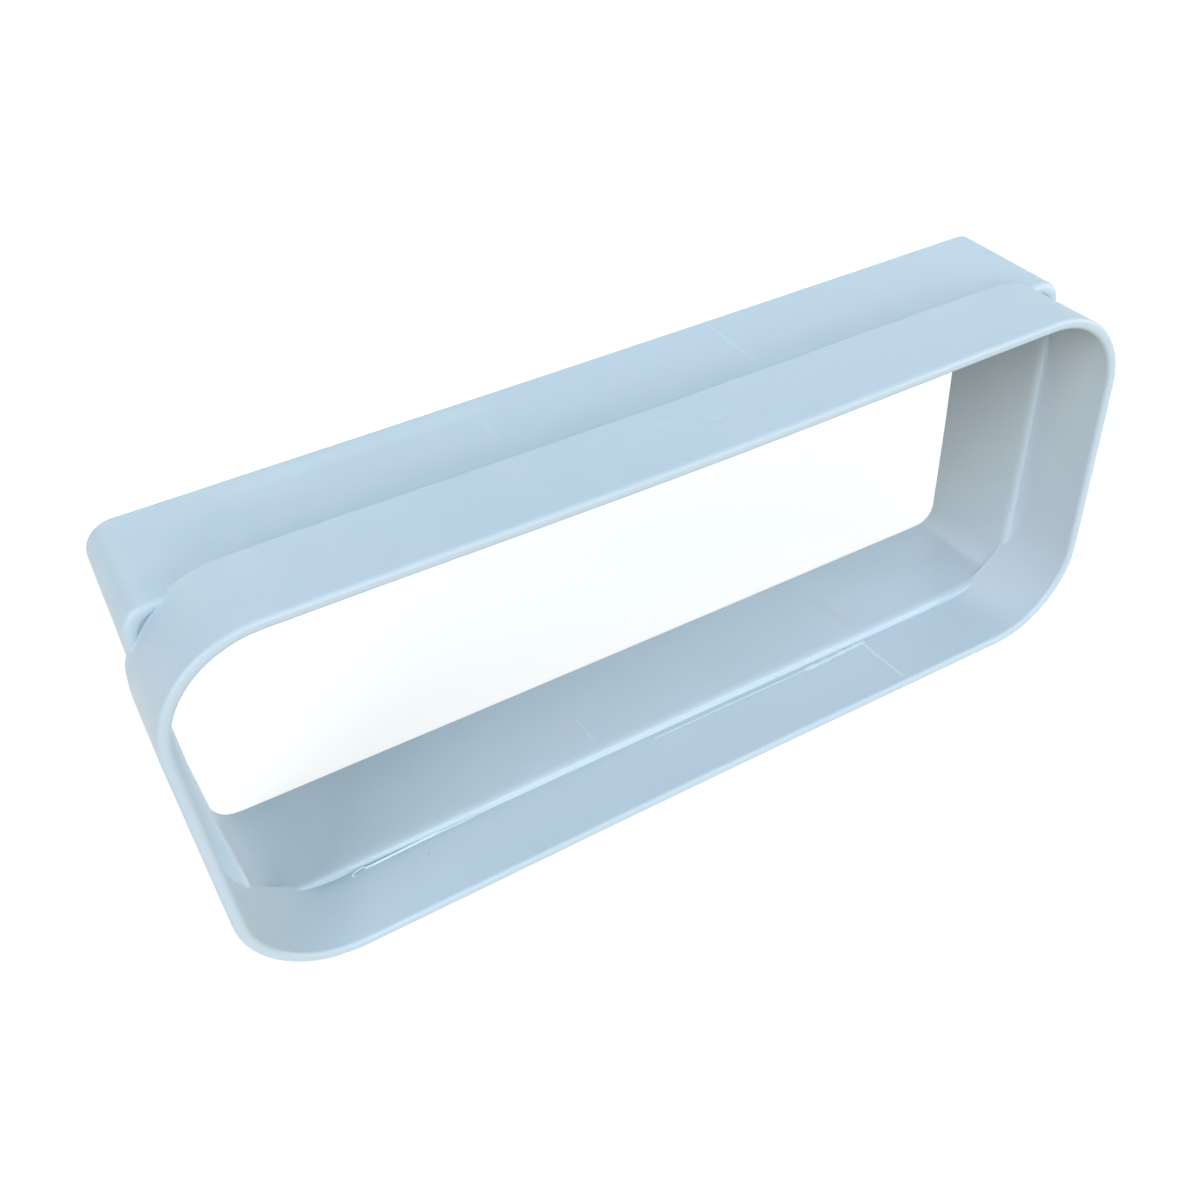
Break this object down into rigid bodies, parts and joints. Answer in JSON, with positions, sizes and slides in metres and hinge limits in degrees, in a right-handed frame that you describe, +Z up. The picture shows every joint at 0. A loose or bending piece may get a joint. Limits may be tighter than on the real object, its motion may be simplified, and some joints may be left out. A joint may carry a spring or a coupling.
{
  "type": "flat duct adapter",
  "caption": "Moulded plastic sleeve joining a flat duct with large round corners to one with nearly square corners: socket with a stop ledge at one end, spigot at the other.",
  "frame": {"origin": "bottom centre of the part as it lies on its wide side: midway along the width and the duct length, on the floor under the socket", "axes": "+X along the wide side of the section, +Y along the duct from the socket's mouth to the spigot's end, +Z up across the narrow side"},
  "size_m": [0.2274, 0.0496, 0.0943],
  "materials": {
    "moulded_plastic": "satin, as moulded, pale blue-white"
  },
  "bodies": {
    "root": {"adapter_body": "moulded_plastic"}
  },
  "joints": []
}
